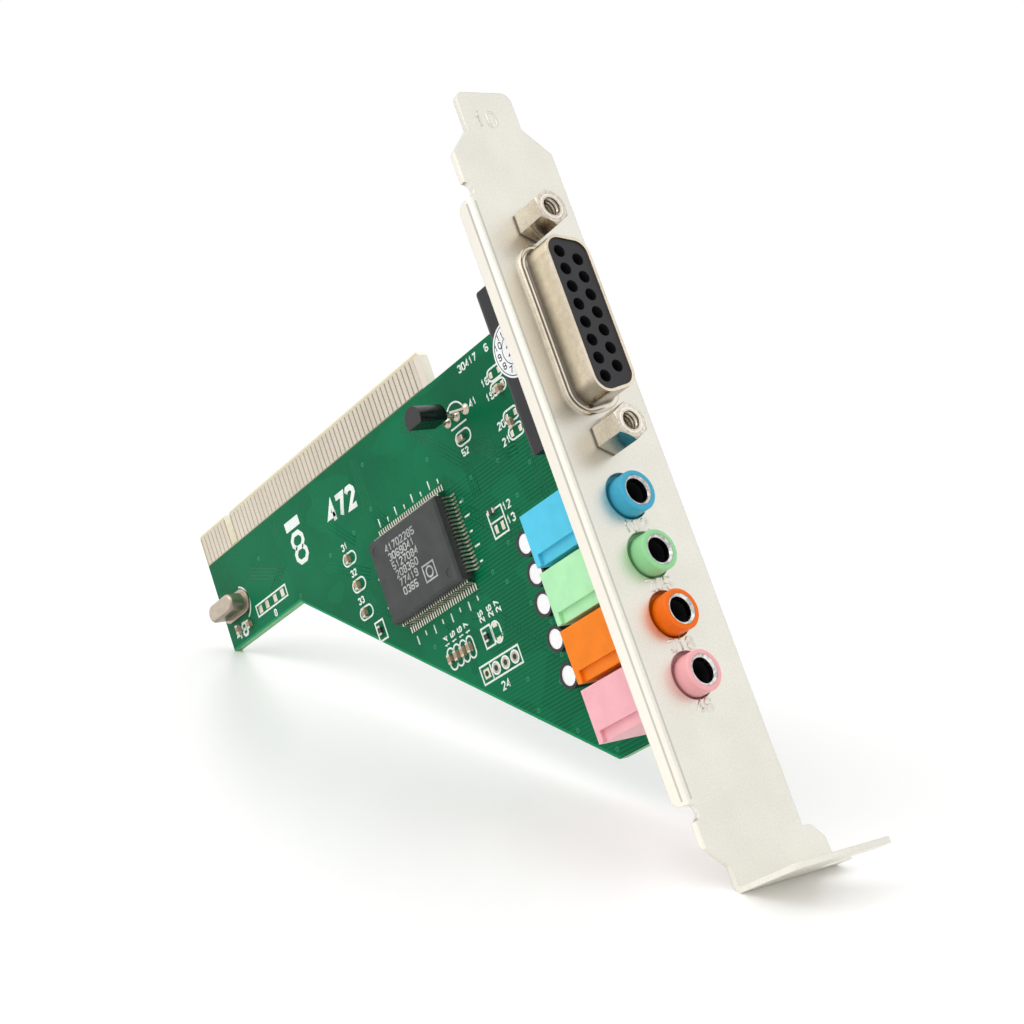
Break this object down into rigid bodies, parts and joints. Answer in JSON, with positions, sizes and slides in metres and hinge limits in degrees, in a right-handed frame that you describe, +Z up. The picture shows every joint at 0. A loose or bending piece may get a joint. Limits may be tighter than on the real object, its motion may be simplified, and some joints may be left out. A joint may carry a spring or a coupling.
{
  "type": "pci sound card",
  "caption": "Short sound card: narrow-armed circuit board with keyed edge contacts on a metal slot bracket, a slanted many-way port with jackscrews and a column of coloured audio jacks.",
  "frame": {"origin": "middle of the outline box on the floor the card stands on", "axes": "+Z up from the floor, +X from the narrow arm of the board towards the bracket, -Y the component side of the board; the card leans back about 33 degrees so that its bracket fold and one board corner stand on the floor"},
  "size_m": [0.1598, 0.0222, 0.1004],
  "materials": {
    "bracket": "satin",
    "circuit_board": "satin",
    "contacts": "satin",
    "port_shell": "bright",
    "port_black": "satin",
    "label": "matte",
    "jackscrew": "bright",
    "jack_blue": "gloss",
    "jack_green": "gloss",
    "jack_orange": "gloss",
    "jack_pink": "gloss",
    "sleeve_metal": "bright",
    "chip_black": "matte",
    "tin": "satin",
    "can_metal": "satin",
    "can_sleeve": "gloss",
    "crystal_metal": "satin",
    "transistor_black": "satin",
    "ceramic": "matte",
    "resistor_black": "satin",
    "solder": "satin"
  },
  "bodies": {
    "root": {"bracket": "bracket", "bracket_tab": "bracket", "circuit_board": "circuit_board", "edge_contacts_component_side": "contacts", "edge_contacts_solder_side": "contacts", "port_shell": "port_shell", "port_insulator": "port_black", "port_block": "port_black", "round_label": "label", "jackscrew_upper": "jackscrew", "jackscrew_lower": "jackscrew", "jack_housing_blue": "jack_blue", "jack_housing_green": "jack_green", "jack_housing_orange": "jack_orange", "jack_housing_pink": "jack_pink", "jack_sleeves": "sleeve_metal", "audio_chip": "chip_black", "chip_leads": "tin", "capacitor_cans": "can_metal", "capacitor_sleeves": "can_sleeve", "crystal_base": "crystal_metal", "crystal_can": "crystal_metal", "transistor_body": "transistor_black", "transistor_leads": "tin", "ceramic_capacitors": "ceramic", "ceramic_capacitor_ends": "tin", "chip_resistors": "resistor_black", "chip_resistor_ends": "tin", "solder_joints": "solder"}
  },
  "joints": []
}
